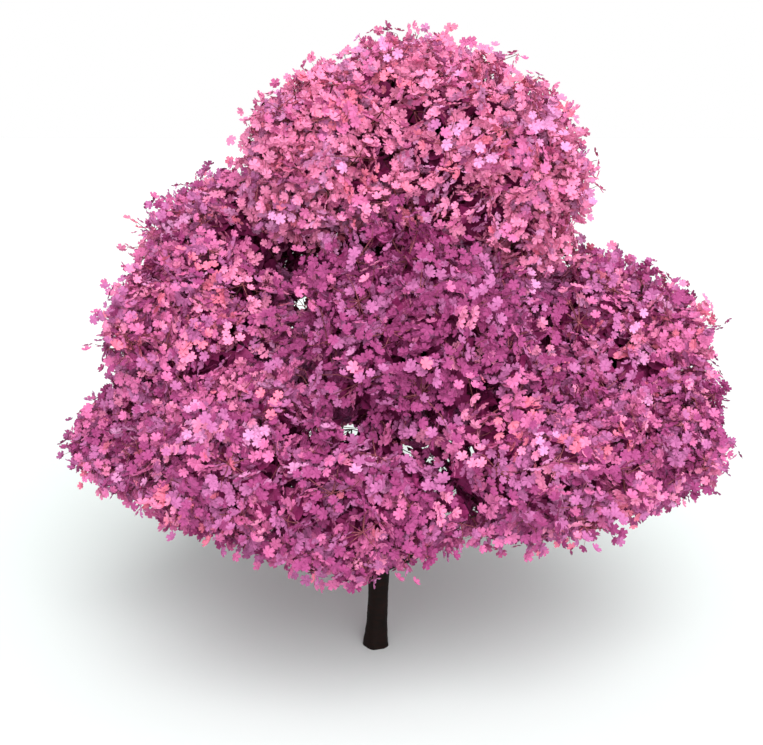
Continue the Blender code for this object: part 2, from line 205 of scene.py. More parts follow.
# A spray: a flat, drooping disc of flowers, and what its tilt is weighed from
SPRAY_RADIUS = (0.09, 0.15)
SPRAY_LENGTHEN = 1.25
SPRAY_JITTER = 0.014
SPRAY_TURN = 0.9
SPRAY_DROOP = 0.25
SPRAY_OUTWARD = 0.40
SPRAY_UPWARD = 0.40
SPRAY_WILDNESS = 1.00

# One flower: five blunt, cupped petals
PETALS = 5
FLOWER_RADIUS = (0.036, 0.056)
FLOWER_TILT = 0.28
FLOWER_MARGIN = 0.05
FLOWER_CLEARANCE = 0.03
PETAL_SHOULDER = math.radians(20)
PETAL_VALLEY = 0.60
PETAL_CUP = 0.26
VALLEY_CUP_SHARE = 0.15

# The lobed blades in a mass's depth, which carry the painted shade of the crown's depth
BLADE_RADIUS = (0.07, 0.11)
BLADE_LOBES = 3
BLADE_VALLEY = 0.62
BLADE_CUP = 0.25
BLADE_SCATTER = 0.08
BLADE_TILT = 0.8
BLADE_CLEARANCE = 0.10

# How far the blossom may stand out of the solids' box, as a share of each side
BOX_SHARE = 0.024

# The share of its reach that each mass's blossom keeps, where the photo's outline is narrower
# than the solids
HELD_IN = {
    "top": 0.94, "top_left": 0.79, "top_right": 0.94,
    "left": 0.93, "low_left": 0.87, "right": 0.93, "low_right": 0.84,
    "front": 0.93, "front_left": 0.94, "front_right": 0.96,
}

# The blossom's tints, with each one's share of the sprays, and the dark tint of the blades in its depth,
# which is painted shade
Tint = namedtuple("Tint", "name colour share")
TINTS = (
    Tint("warm_pink", (0.74, 0.22, 0.40), 0.22),
    Tint("mid_pink", (0.60, 0.14, 0.33), 0.28),
    Tint("mauve", (0.46, 0.13, 0.32), 0.26),
    Tint("magenta", (0.33, 0.05, 0.18), 0.13),
    Tint("salmon", (0.76, 0.18, 0.30), 0.06),
    Tint("lilac", (0.66, 0.26, 0.50), 0.05),
)
DEPTH_PAINTED_SHADE_TINT = Tint("deep_painted_shade", (0.25, 0.018, 0.11), 0.0)
STRAY_TINT_SHARE = 0.18

# Painted light and shade: how much paler or darker than the rest each mass's blossom is, which weighs its
# tints by their lightness. The top masses are painted paler, as light from above, and the centre, front and
# low ones darker, as painted shade
PAINTED_LIGHT_SHADE_WEIGHT = 2
PAINTED_LIGHT_SHADE = {
    "top": 3.0, "top_left": 2.6, "top_right": 2.6, "centre": -2.4,
    "left_shoulder": 0.2, "left": -0.3, "low_left": -0.9, "right": -0.3, "low_right": -1.5,
    "front": -1.6, "front_left": -0.9, "front_right": -1.0,
}

# The petals' finish: their veins' pattern, and the roughness and bump that follow it
VEIN_SCALE = 95.0
VEIN_DETAIL = 2.0
VEIN_BUMP = 0.25
VEIN_BUMP_DEPTH = 0.004
PETAL_ROUGHNESS = (0.50, 0.78)
PETAL_GLOSS = 0.25

# Kinds of bark: dark and light tone, the grain's scale and its banding, and the bump's depth
Wood = namedtuple("Wood", "name dark light scale banding bump_depth")
BARK = Wood("bark", (0.003, 0.0012, 0.0008), (0.013, 0.005, 0.0036), 9.0, 4.0, 0.006)
BRANCH_BARK = Wood("twig_bark", (0.020, 0.008, 0.009), (0.080, 0.030, 0.030), 30.0, 1.0, 0.002)
SHOOT = Wood("shoot", (0.16, 0.035, 0.05), (0.42, 0.12, 0.15), 30.0, 1.0, 0.001)
GRAIN_DETAIL = 6.0
GRAIN_TONES = (0.38, 0.68)
GRAIN_BUMP = 0.6
WOOD_ROUGHNESS = (0.55, 0.85)
WOOD_GLOSS = 0.12
PATTERN_RANGE = (0.3, 0.7)

# The materials that the pieces share; depth is the dark tint of the blades in the crown's depth, which is
# painted shade
Looks = namedtuple("Looks", "bark branch_bark shoot petals depth")

# The camera that fits the photograph
CAMERA_PLACE = Vector((0.056, -11.0, 5.98))
CAMERA_PITCH = math.radians(15.8)
CAMERA_LENS = 56.6
SENSOR_WIDTH = 36.0
CLIP_END = 300.0

# Where the photo shows sky through the crown: sightlines from the camera through a point in
# the plane of the trunk, as (x, height, radius)
SKY_GAPS = ((-0.708, 3.525, 0.085), (-0.248, 2.29, 0.085), (0.284, 2.086, 0.065))

# The light: the heights between which the dome fades, as the sine of the angle above the
# horizon, its strength above them, and each sun's name, strength, size in degrees and direction
DOME_FADE = (0.05, 0.35)
DOME_STRENGTH = 0.42
SUNS = (
    ("softbox", 2.3, 84.0, (-0.18, 0.78, -0.60)),
    ("key", 2.3, 40.0, (-0.11, 0.70, -0.71)),
)

# The floor
FLOOR_HALF = 60.0
FLOOR_COLOUR = (0.76, 0.81, 0.795)
FLOOR_ROUGHNESS = 0.9


def centre_of(mass):
    """The middle of a mass's space."""
    bearing = math.radians(mass.bearing)
    return Vector((mass.reach * math.cos(bearing), mass.reach * math.sin(bearing), mass.height))


def scaled(mass, direction):
    """A unit direction stretched to the mass's half-width and half-height."""
    width, rise = mass.half_width, mass.half_height
    return Vector((direction.x * width, direction.y * width, direction.z * rise))


def unscaled(mass, offset):
    """An offset from the mass's middle, as a share of its half-sizes."""
    width, rise = mass.half_width, mass.half_height
    return Vector((offset.x / width, offset.y / width, offset.z / rise))


CENTRES = np.array([centre_of(mass) for mass in MASSES])
HALF_SIZES = np.array([(mass.half_width, mass.half_width, mass.half_height) for mass in MASSES])


# The crown's surface and the walls between its masses


def walls_of(mass):
    """The planes that part a mass's space from its neighbours', as arrays of points and normals."""
    middle = centre_of(mass)
    feet, normals = [], []
    for other in MASSES:
        if other is mass:
            continue
        across = centre_of(other) - middle
        own = 1.0 / unscaled(mass, across).length
        theirs = 1.0 / unscaled(other, across).length
        normal = across.normalized()
        feet.append(middle + across * (own / (own + theirs)) - normal * (MASS_GAP / 2))
        normals.append(normal)
    return np.array(feet), np.array(normals)


def within_walls(walls, points):
    """Whether points lie within a mass's walls."""
    feet, normals = walls
    distance = np.einsum("pwk,wk->pw", points[:, None, :] - feet[None], normals)
    return (distance < 0).all(1)


def room_to_walls(walls, index, directions):
    """How far it is from a mass's middle along unit directions to the nearest wall."""
    feet, normals = walls
    towards = directions @ normals.T
    meets = towards > TINY
    room = ((feet - CENTRES[index]) * normals).sum(1) / np.where(meets, towards, np.inf)
    return np.where(meets, room, np.inf).min(1)


def fullness(points):
    """Over 1 inside the crown, which is the masses' ellipsoids with the grooves between them filled."""
    offsets = (points[:, None, :] - CENTRES[None]) / HALF_SIZES[None]
    return np.exp(GROOVE_FILL * (1 - (offsets**2).sum(2))).sum(1)


def crown_reach(index, directions):
    """How far it is from a mass's middle along unit directions to the crown's surface."""
    near = 1.0 / np.linalg.norm(directions / HALF_SIZES[index], axis=1)
    far = near * MOST_BULGE
    for _ in range(REACH_HALVINGS):
        half = (near + far) / 2
        within = fullness(CENTRES[index] + directions * half[:, None]) >= 1
        near = np.where(within, half, near)
        far = np.where(within, far, half)
    return near


def lumps(points):
    """How far the crown's surface swells or sinks at points, from -1 to 1."""
    return np.array([noise.noise(Vector(point) * LUMP_SIZE) for point in points])


# The limbs, by the part's own rule


def hermite(start, leaving, end, arriving, count):
    """Points along a smooth curve, after its start, up to and including its end."""
    points = []
    for step in range(1, count + 1):
        t = step / count
        points.append(
            start * (2 * t**3 - 3 * t**2 + 1)
            + leaving * (t**3 - 2 * t**2 + t)
            + end * (3 * t**2 - 2 * t**3)
            + arriving * (t**3 - t**2)
        )
    return points


def along(path, radii, share):
    """The point, direction and radius at a share of a limb's length."""
    lengths = [(b - a).length for a, b in zip(path, path[1:])]
    left = share * sum(lengths)
    for step, length in enumerate(lengths):
        if left <= length or step == len(lengths) - 1:
            break
        left -= length
    part = min(left / length, 1.0)
    a, b = path[step], path[step + 1]
    return a.lerp(b, part), (b - a).normalized(), radii[step] + (radii[step + 1] - radii[step]) * part


def trunk_limb():
    """The trunk's centreline and radii, from its flat cut to its fork."""
    points, radii = [], []
    for height in TRUNK_HEIGHTS:
        rise = height / FORK_HEIGHT
        lean = TRUNK_LEAN * rise**2 + TRUNK_BOW * math.sin(math.pi * rise)
        points.append(Vector((lean if height > CUT_HEIGHT else 0.0, 0.0, height)))
        if height <= WAIST_HEIGHT:
            flare = (1 - height / WAIST_HEIGHT) ** ROOT_FLARE_POWER
            radii.append(WAIST_RADIUS + (GROUND_RADIUS - WAIST_RADIUS) * flare)
        else:
            swell = ((height - WAIST_HEIGHT) / (FORK_HEIGHT - WAIST_HEIGHT)) ** FORK_SWELL_POWER
            radii.append(WAIST_RADIUS + (FORK_RADIUS - WAIST_RADIUS) * swell)
    return points, radii


def collar_of(mass, limb):
    """Where a mass's bough leaves its limb, in which direction, and how far out it starts."""
    origin, heading, girth = along(*limb, mass.at)
    away = centre_of(mass) - origin
    rise = math.radians(mass.rise)
    flat = Vector((away.x, away.y, 0.0)).normalized()
    leaving = flat * math.cos(rise) + Vector((0, 0, math.sin(rise)))
    if mass.at == 1.0:
        return origin, leaving, LEADER_COLLAR_LENGTH
    room = girth + mass.root_radius * COLLAR_SWELL + COLLAR_CLEARANCE
    return origin, leaving, room / math.sin(leaving.angle(heading))


def random_direction(rng):
    """A unit vector, even over the sphere."""
    height = rng.uniform(-1, 1)
    angle = rng.uniform(0, 2 * math.pi)
    width = math.sqrt(1 - height * height)
    return Vector((width * math.cos(angle), width * math.sin(angle), height))


def bough_path(mass, origin, leaving, length):
    """A bough's centreline, from its collar's end to where it enters its mass."""
    rng = random.Random(f"{SEED} bough {mass.place}")
    middle = centre_of(mass)
    start = origin + leaving * (length + JOINT_GAP)
    second = start + leaving * length * 0.5
    facing = unscaled(mass, start - middle).normalized()
    end = middle + scaled(mass, facing) * BOUGH_ENTRY
    span = (end - second).length
    arriving = (middle - end).normalized().lerp(leaving, BOUGH_HEADING_KEPT).normalized()
    curve = hermite(second, leaving * span, end, arriving * span, BOUGH_STEPS)
    for point in curve[:-1]:
        point += random_direction(rng) * BOUGH_WANDER
    return [start, second] + curve


def bough_radii(mass, steps):
    """A bough's radii, from its root to its tip."""
    return [
        mass.root_radius + (mass.tip_radius - mass.root_radius) * (i / steps) ** BOUGH_TAPER_POWER
        for i in range(steps + 1)
    ]


def plan_limbs():
    """Every limb's centreline and radii, and each bough's collar as (origin, direction, length)."""
    limbs = {"trunk": trunk_limb()}
    collars = {}
    for mass in MASSES:
        collar = collar_of(mass, limbs[mass.parent])
        path = bough_path(mass, *collar)
        limbs[mass.place] = (path, bough_radii(mass, len(path) - 1))
        collars[mass.place] = collar
    return limbs, collars


def limb_samples(limbs):
    """Points and radii down the middle of every limb."""
    points, sizes = [], []
    for path, radii in limbs.values():
        for a, b, start, end in zip(path, path[1:], radii, radii[1:]):
            count = math.ceil((b - a).length / LIMB_SAMPLE_STEP)
            for step in range(count + 1):
                t = step / count
                points.append(a.lerp(b, t))
                sizes.append(start + (end - start) * t)
    return np.array(points), np.array(sizes)


# Arrays of vectors


def unit(vectors):
    """The vectors at unit length."""
    return vectors / np.maximum(np.linalg.norm(vectors, axis=-1, keepdims=True), LEAST_LENGTH)


def random_directions(rng, count):
    """Unit vectors, even over the sphere."""
    return unit(rng.normal(size=(count, 3)))


def golden_directions(count, rng):
    """Unit vectors spread evenly over the sphere by the golden angle, turned at random."""
    number = np.arange(count)
    height = 1 - 2 * (number + 0.5) / count
    width = np.sqrt(1 - height * height)
    angle = GOLDEN_ANGLE * number + rng.uniform(0, 2 * math.pi)
    even = np.stack([width * np.cos(angle), width * np.sin(angle), height], 1)
    basis, _ = np.linalg.qr(rng.normal(size=(3, 3)))
    return even @ basis


def helpers_for(vectors):
    """For each vector, an axis that it doesn't run along."""
    return np.where(np.abs(vectors[:, 2:3]) < NEARLY_UPRIGHT, [[0.0, 0.0, 1.0]], [[1.0, 0.0, 0.0]])


def frames_of(facing, rng):
    """Two unit vectors square to each facing, turned at random round it."""
    across = unit(np.cross(facing, helpers_for(facing)))
    beside = np.cross(facing, across)
    turn = rng.uniform(0, 2 * math.pi, (len(facing), 1))
    return (
        across * np.cos(turn) + beside * np.sin(turn),
        beside * np.cos(turn) - across * np.sin(turn),
    )


def joined(sets):
    """One array for each column of a list of rows of arrays."""
    return [np.concatenate(column) for column in zip(*sets)]


# Meshes


def mesh_object(name, points, faces, materials, slots=None, smooth=False):
    """An object from arrays of points and of equal-sided faces, with its materials."""
    mesh = bpy.data.meshes.new(name)
    mesh.vertices.add(len(points))
    mesh.vertices.foreach_set("co", np.ascontiguousarray(points, np.float32).ravel())
    mesh.loops.add(faces.size)
    mesh.loops.foreach_set("vertex_index", np.ascontiguousarray(faces, np.int32).ravel())
    mesh.polygons.add(len(faces))
    mesh.polygons.foreach_set("loop_start", np.arange(0, faces.size, faces.shape[1], dtype=np.int32))
    for material in materials:
        mesh.materials.append(material)
    if slots is not None:
        mesh.polygons.foreach_set("material_index", np.ascontiguousarray(slots, np.int32))
    mesh.update(calc_edges=True)
    mesh.validate()
    if smooth:
        mesh.shade_smooth()
    else:
        mesh.shade_flat()
    made = bpy.data.objects.new(name, mesh)
    bpy.context.scene.collection.objects.link(made)
    return made


def tube_object(name, sets, material):
    """One smooth object from several sets of points and four-sided faces."""
    points, faces, start = [], [], 0
    for set_points, set_faces in sets:
        points.append(set_points)
        faces.append(set_faces + start)
        start += len(set_points)
    return mesh_object(name, np.concatenate(points), np.concatenate(faces), [material], smooth=True)


def tube_faces(rings, sides):
    """The four-sided faces of one open tube, whose points run ring by ring."""
    side = np.arange(sides)
    after = (side + 1) % sides
    ring = np.arange(rings - 1)[:, None] * sides
    quads = np.stack([ring + side, ring + after, ring + sides + after, ring + sides + side], -1)
    return quads.reshape(-1, 4)


def tubes(paths, radii, sides):
    """Points and faces of round tubes along paths that all have the same number of points."""
    count, rings = paths.shape[:2]
    headings = unit(np.gradient(paths, axis=1))
    helper = helpers_for(unit(headings.mean(1)))
    across = unit(np.cross(headings, helper[:, None, :]))
    beside = np.cross(headings, across)
    angles = 2 * math.pi * np.arange(sides) / sides
    ring = (
        across[:, :, None, :] * np.cos(angles)[None, None, :, None]
        + beside[:, :, None, :] * np.sin(angles)[None, None, :, None]
    )
    points = paths[:, :, None, :] + ring * radii[:, :, None, None]
    starts = np.arange(count)[:, None, None] * (rings * sides)
    faces = tube_faces(rings, sides)[None] + starts
    return points.reshape(-1, 3), faces.reshape(-1, 4)


def tapered(paths, ends, sides):
    """Tubes along paths whose radius runs evenly from the first of two ends to the second."""
    count, rings = paths.shape[:2]
    return tubes(paths, np.linspace(*ends, rings)[None].repeat(count, 0), sides)


def fan(points):
    """Points and faces of a fan round a middle, which is the first of the points."""
    rim = len(points) - 1
    faces = [(0, 1 + i, 1 + (i + 1) % rim) for i in range(rim)]
    return np.array(points), np.array(faces)


def on_circle(radius, angle, rise):
    """A point at a radius, angle and height."""
    return radius * math.cos(angle), radius * math.sin(angle), rise


def flower_template():
    """Points and faces of one flower of unit radius that faces +Z."""
    points = [(0.0, 0.0, 0.0)]
    for petal in range(PETALS):
        middle = 2 * math.pi * petal / PETALS
        points.append(on_circle(PETAL_VALLEY, middle - math.pi / PETALS, PETAL_CUP * VALLEY_CUP_SHARE))
        points.append(on_circle(1.0, middle - PETAL_SHOULDER, PETAL_CUP))
        points.append(on_circle(1.0, middle + PETAL_SHOULDER, PETAL_CUP))
    return fan(points)


def blade_template():
    """Points and faces of a lobed blade of unit radius, for the depth of a mass."""
    points = [(0.0, 0.0, 0.0)]
    for corner in range(2 * BLADE_LOBES):
        size, rise = (1.0, BLADE_CUP) if corner % 2 == 0 else (BLADE_VALLEY, 0.0)
        points.append(on_circle(size, math.pi * corner / BLADE_LOBES, rise))
    return fan(points)


def stamp(template, places, facing, sizes, rng):
    """Copies of a template at places, turned to their facings and sized, as arrays."""
    points, faces = template
    across, beside = frames_of(facing, rng)
    frames = np.stack([across, beside, facing], 1)
    grown = np.einsum("pk,nkc->npc", points, frames) * sizes[:, None, None] + places[:, None, :]
    starts = np.arange(len(places))[:, None, None] * len(points)
    return grown.reshape(-1, 3), (faces[None] + starts).reshape(-1, 3)


# Room for the blossom


def off_sky(points):
    """Whether points keep clear of the sightlines where the photo shows sky."""
    clear = np.ones(len(points), bool)
    eye = np.array(CAMERA_PLACE)
    for x, height, radius in SKY_GAPS:
        line = unit(np.array((x, 0.0, height)) - eye)
        offset = points - eye
        away = offset - (offset @ line)[:, None] * line
        clear &= np.linalg.norm(away, axis=1) > radius
    return clear


def in_box(points, margin):
    """Whether points stay within the solids' box and its allowance, by a margin."""
    low, high = np.array(CAD_BOX[0]), np.array(CAD_BOX[1])
    room = (high - low) * BOX_SHARE
    return ((points > low - room + margin) & (points < high + room - margin)).all(1)


def clear_of_limbs(samples, points, clearance):
    """Whether points keep clear of every limb, by a clearance."""
    clear = np.ones(len(points), bool)
    for middle, size in zip(*samples):
        clear &= np.linalg.norm(points - middle, axis=1) > size + clearance
    return clear


# The blossom, from branch to flower


def spray_sites(index, walls, samples, layer, rng):
    """Where a layer's sprays sit in a mass, and which way they point."""
    directions = golden_directions(layer.count, rng)
    directions = unit(directions + rng.normal(size=directions.shape) * SITE_JITTER)
    reach = crown_reach(index, directions)
    surface = CENTRES[index] + directions * reach[:, None]
    share = rng.uniform(*layer.reach, len(directions)) + LUMP_DEPTH * lumps(surface)
    share *= 1 - UNDERSIDE_TRIM * np.maximum(0, -directions[:, 2])
    share *= HELD_IN.get(MASSES[index].place, 1.0)
    sites = CENTRES[index] + directions * (reach * share)[:, None]
    kept = within_walls(walls, sites) & clear_of_limbs(samples, sites, SITE_CLEARANCE)
    kept &= off_sky(sites) & in_box(sites, SITE_MARGIN)
    return sites[kept], directions[kept]


def stem_path(middle, limb):
    """The stem that carries on from a bough's tip to the middle of its mass: path and radii."""
    path, radii = limb
    tip = path[-1]
    before = tip - (tip - path[-2]).normalized() * STEM_OVERLAP
    points = [before, tip, tip.lerp(middle, 0.5), middle]
    return np.array([points]), np.array([[radii[-1] * share for share in STEM_TAPER]])


def branch_paths(index, walls, rng):
    """Branches that fan out from a mass's middle, as an array of paths."""
    directions = golden_directions(BRANCHES, rng)
    reach = crown_reach(index, directions) * BRANCH_REACH
    room = room_to_walls(walls, index, directions) * BRANCH_WALL_SHARE
    ends = CENTRES[index] + directions * np.minimum(reach, room)[:, None]
    share = np.linspace(0, 1, BRANCH_POINTS)[None, :, None]
    paths = CENTRES[index] + (ends[:, None, :] - CENTRES[index]) * share
    bow = np.sin(math.pi * share)
    bend = rng.normal(size=paths.shape) * BRANCH_WANDER * bow
    sag = np.array((0.0, 0.0, -BRANCH_WANDER))
    return paths + bend + sag * bow


def twig_paths(branches, sites, directions, rng):
    """A twig from the nearest outer point of a branch to each spray."""
    roots = branches[:, TWIG_FROM:, :].reshape(-1, 3)
    distance = np.linalg.norm(sites[:, None, :] - roots[None], axis=2)
    start = roots[distance.argmin(1)]
    span = np.linalg.norm(sites - start, axis=1)[:, None]
    control = sites - directions * span * TWIG_LEAD + rng.normal(size=sites.shape) * span * TWIG_WANDER
    start, control, end = start[:, None, :], control[:, None, :], sites[:, None, :]
    t = np.linspace(0, 1, TWIG_POINTS)[None, :, None]
    return start * (1 - t) ** 2 + control * 2 * t * (1 - t) + end * t**2


def flowers_of(sites, directions, layer, rng):
    """Every flower of a layer's sprays: its place, facing, size and spray number.

    A spray is a flat, slightly drooping disc of flowers that face much the same way.
    """
    count = len(sites)
    normal = directions * SPRAY_OUTWARD + random_directions(rng, count) * SPRAY_WILDNESS
    normal[:, 2] += SPRAY_UPWARD
    normal = unit(normal)
    across, beside = frames_of(normal, rng)
    spray = np.repeat(np.arange(count), layer.members)
    number = np.tile(np.arange(layer.members), count)
    size = rng.uniform(*SPRAY_RADIUS, count)[spray]
    share = np.sqrt((number + 0.5) / layer.members)
    angle = GOLDEN_ANGLE * number + rng.uniform(0, SPRAY_TURN, len(spray))
    x = (size * share * np.cos(angle) * SPRAY_LENGTHEN)[:, None]
    y = (size * share * np.sin(angle) / SPRAY_LENGTHEN)[:, None]
    places = sites[spray] + across[spray] * x + beside[spray] * y
    places -= normal[spray] * (size * share**2 * SPRAY_DROOP)[:, None]
    places += rng.normal(size=places.shape) * SPRAY_JITTER
    lean = (across[spray] * x + beside[spray] * y) / size[:, None] * SPRAY_DROOP
    facing = unit(normal[spray] + lean + random_directions(rng, len(spray)) * FLOWER_TILT)
    return places, facing, rng.uniform(*FLOWER_RADIUS, len(spray)), spray


def deal_tints(count, spray, painted_light_shade, rng):
    """A tint for each spray, which its flowers share apart from a few strays."""
    # Painted light and shade: paler tints gain share where the mass is painted lighter, and darker ones
    # where it is painted in shade.
    lightness = np.array([sum(tint.colour) for tint in TINTS])
    weights = np.exp(painted_light_shade * (lightness - lightness.mean()) * PAINTED_LIGHT_SHADE_WEIGHT)
    shares = np.array([tint.share for tint in TINTS]) * weights
    shares = shares / shares.sum()
    by_spray = rng.choice(len(TINTS), count, p=shares)
    tints = by_spray[spray]
    stray = rng.random(len(spray)) < STRAY_TINT_SHARE
    return np.where(stray, rng.choice(len(TINTS), len(spray), p=shares), tints)


def grow_flowers(index, walls, branches, samples, rng):
    """A mass's flowers as (places, facings, sizes, tints), and its twigs and stalks as paths."""
    # How much painted light or shade this mass's tints carry
    painted_light_shade = PAINTED_LIGHT_SHADE.get(MASSES[index].place, 0.0)
    flowers, twigs, stalks = [], [], []
    for layer in FLOWER_LAYERS:
        sites, directions = spray_sites(index, walls, samples, layer, rng)
        twigs.append(twig_paths(branches, sites, directions, rng))
        places, facing, sizes, spray = flowers_of(sites, directions, layer, rng)
        tints = deal_tints(len(sites), spray, painted_light_shade, rng)
        kept = in_box(places, FLOWER_MARGIN) & off_sky(places)
        kept &= clear_of_limbs(samples, places, FLOWER_CLEARANCE)
        flowers.append((places[kept], facing[kept], sizes[kept], tints[kept]))
        stalked = kept & (rng.random(len(kept)) < STALK_SHARE)
        ends = places[stalked] - facing[stalked] * STALK_END
        stalks.append(np.stack([sites[spray[stalked]], ends], 1))
    return joined(flowers), np.concatenate(twigs), np.concatenate(stalks)


def grow_blades(index, walls, samples, rng):
    """The blades in a mass's depth, as (places, facings, sizes)."""
    blades = []
    for layer in INNER_LAYERS:
        sites, directions = spray_sites(index, walls, samples, layer, rng)
        spray = np.repeat(np.arange(len(sites)), layer.members)
        places = sites[spray] + random_directions(rng, len(spray)) * BLADE_SCATTER
        facing = unit(directions[spray] + random_directions(rng, len(spray)) * BLADE_TILT)
        sizes = rng.uniform(*BLADE_RADIUS, len(spray))
        kept = off_sky(places) & clear_of_limbs(samples, places, BLADE_CLEARANCE)
        blades.append((places[kept], facing[kept], sizes[kept]))
    return joined(blades)


def declare(piece, node):
    """Says that a piece moves with the tree and stands for a node, whose solid it hides."""
    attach(piece, "root")
    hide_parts(node)


def grow_mass(index, limb, samples, looks):
    """A mass's flowers, blades, branches and twigs, as four pieces that replace its solid."""
    mass = MASSES[index]
    rng = np.random.default_rng([SEED, index])
    walls = walls_of(mass)
    branches = branch_paths(index, walls, rng)
    (places, facing, sizes, tints), twigs, stalks = grow_flowers(index, walls, branches, samples, rng)
    blades = grow_blades(index, walls, samples, rng)
    points, faces = stamp(flower_template(), places, facing, sizes, rng)
    slots = np.repeat(tints, len(faces) // len(tints))
    flowers = mesh_object(f"flowers_{mass.place}", points, faces, looks.petals, slots)
    points, faces = stamp(blade_template(), *blades, rng)
    # The blades in the mass's depth take the dark tint that is painted shade.
    depth = mesh_object(f"inner_blossom_painted_shade_{mass.place}", points, faces, [looks.depth])
    stem = tubes(*stem_path(Vector(CENTRES[index]), limb), STEM_SIDES)
    wood = [tapered(branches, BRANCH_RADIUS, BRANCH_SIDES), stem]
    fine = [tapered(twigs, TWIG_RADIUS, TWIG_SIDES), tapered(stalks, STALK_RADIUS, TWIG_SIDES)]
    branchwork = tube_object(f"branches_{mass.place}", wood, looks.branch_bark)
    twigwork = tube_object(f"twigs_{mass.place}", fine, looks.shoot)
    for piece, slot in ((flowers, "blossom"), (depth, "blossom"), (branchwork, "bark"), (twigwork, "bark")):
        declare(piece, f"blossom_{mass.place}")


# The bark of the trunk and boughs


def between(a, b, c, d, t):
    """The point at a share of the way from b to c, on a smooth curve that passes through all four."""
    return (b * 2 + (c - a) * t + (a * 2 - b * 5 + c * 4 - d) * t * t + (b * 3 - a - c * 3 + d) * t**3) / 2


def smooth_path(path, radii):
    """A limb's path and radii, resampled on a smooth curve at the bark's ring spacing."""
    knots = [path[0] * 2 - path[1]] + list(path) + [path[-1] * 2 - path[-2]]
    points, sizes = [], []
    for i in range(1, len(knots) - 2):
        corners = knots[i - 1 : i + 3]
        count = max(2, round((corners[2] - corners[1]).length / RING_SPACING))
        for step in range(count):
            t = step / count
            ease = t * t * (3 - 2 * t)
            points.append(between(*corners, t))
            sizes.append(radii[i - 1] + (radii[i] - radii[i - 1]) * ease)
    points.append(path[-1])
    sizes.append(radii[-1])
    return points, sizes


def patterned(place, across, upward):
    """A place in a pattern that repeats so often across the height and up it."""
    return Vector((place.x * across, place.y * across, place.z * upward))


def relief(place, angle, height, flare):
    """How far the bark stands out at a place, as a share of the limb's radius."""
    grain = patterned(place, FURROWS_ACROSS, FURROWS_UPWARD)
    furrow = noise.fractal(grain, FURROW_ROUGHNESS, FURROW_LACUNARITY, FURROW_OCTAVES)
    band = noise.noise(patterned(place, LENTICELS_ACROSS, LENTICELS_UPWARD))
    out = FURROW_DEPTH * furrow + LENTICEL_DEPTH * max(0.0, band - LENTICEL_LEVEL)
    if flare is not None:
        low = max(0.0, 1 - height / flare) ** 2
        out += BUTTRESS_DEPTH * low * math.cos(BUTTRESSES * angle + BUTTRESS_TURN)
    return out


def bark_skin(name, path, radii, flare, material):
    """A limb's bark as a mesh with its relief, with buttresses below the flare's height."""
    points, sizes = smooth_path(path, radii)
    sides = max(LEAST_SIDES, min(TRUNK_SIDES, round(max(radii) * SIDES_PER_RADIUS)))
    across = (points[1] - points[0]).normalized().orthogonal().normalized()
    skin_points = []
    for number, (point, size) in enumerate(zip(points, sizes)):
        near, far = points[max(number - 1, 0)], points[min(number + 1, len(points) - 1)]
        heading = (far - near).normalized() if flare is None or point.z > 0 else Vector((0, 0, 1))
        across = (across - heading * across.dot(heading)).normalized()
        beside = heading.cross(across)
        for side in range(sides):
            angle = 2 * math.pi * side / sides
            outward = across * math.cos(angle) + beside * math.sin(angle)
            depth = relief(point + outward * size, angle, point.z, flare)
            skin_points.append(point + outward * size * (1 + depth))
    faces = tube_faces(len(points), sides)
    skin = mesh_object(name, np.array(skin_points), faces, [material], smooth=True)
    close_ends(skin.data, sides)
    return skin


def close_ends(mesh, sides):
    """Fills the two open ends of a tube."""
    work = bmesh.new()
    work.from_mesh(mesh)
    work.verts.ensure_lookup_table()
    last = len(work.verts) - sides
    work.faces.new([work.verts[i] for i in reversed(range(sides))])
    work.faces.new([work.verts[last + i] for i in range(sides)])
    work.to_mesh(mesh)
    work.free()


def make_bark(limbs, collars, material):
    """The bark of the trunk and of every bough with its collar, each of which replaces its solid."""
    declare(bark_skin("bark_trunk", *limbs["trunk"], WAIST_HEIGHT, material), "trunk")
    for mass in MASSES:
        path, radii = limbs[mass.place]
        origin, leaving, length = collars[mass.place]
        swollen = mass.root_radius * COLLAR_SWELL
        whole = [origin, origin + leaving * length * 0.5] + list(path)
        sizes = [swollen, swollen] + list(radii)
        skin = bark_skin(f"bark_{mass.place}", whole, sizes, None, material)
        declare(skin, f"bough_{mass.place}")


# Materials


def new_material(name):
    """A node material, with its tree and its shader."""
    material = bpy.data.materials.new(name)
    material.use_nodes = True
    tree = material.node_tree
    return material, tree, tree.nodes["Principled BSDF"]


def tone_noise(tree, scale, banding, detail):
    """A noise pattern in object space, which a banding over 1 draws into level bands."""
    nodes, links = tree.nodes, tree.links
    place = nodes.new("ShaderNodeTexCoord")
    mapping = nodes.new("ShaderNodeMapping")
    mapping.inputs["Scale"].default_value = (1.0, 1.0, banding)
    pattern = nodes.new("ShaderNodeTexNoise")
    pattern.inputs["Scale"].default_value = scale
    pattern.inputs["Detail"].default_value = detail
    links.new(place.outputs["Object"], mapping.inputs["Vector"])
    links.new(mapping.outputs["Vector"], pattern.inputs["Vector"])
    return pattern.outputs["Fac"]


def ranged(tree, source, from_range, to_range):
    """A value mapped from one range to another."""
    node = tree.nodes.new("ShaderNodeMapRange")
    node.inputs["From Min"].default_value, node.inputs["From Max"].default_value = from_range
    node.inputs["To Min"].default_value, node.inputs["To Max"].default_value = to_range
    tree.links.new(source, node.inputs["Value"])
    return node.outputs["Result"]


def bumped(tree, shader, source, strength, distance):
    """Gives a shader a bump from a pattern."""
    bump = tree.nodes.new("ShaderNodeBump")
    bump.inputs["Strength"].default_value = strength
    bump.inputs["Distance"].default_value = distance
    tree.links.new(source, bump.inputs["Height"])
    tree.links.new(bump.outputs["Normal"], shader.inputs["Normal"])


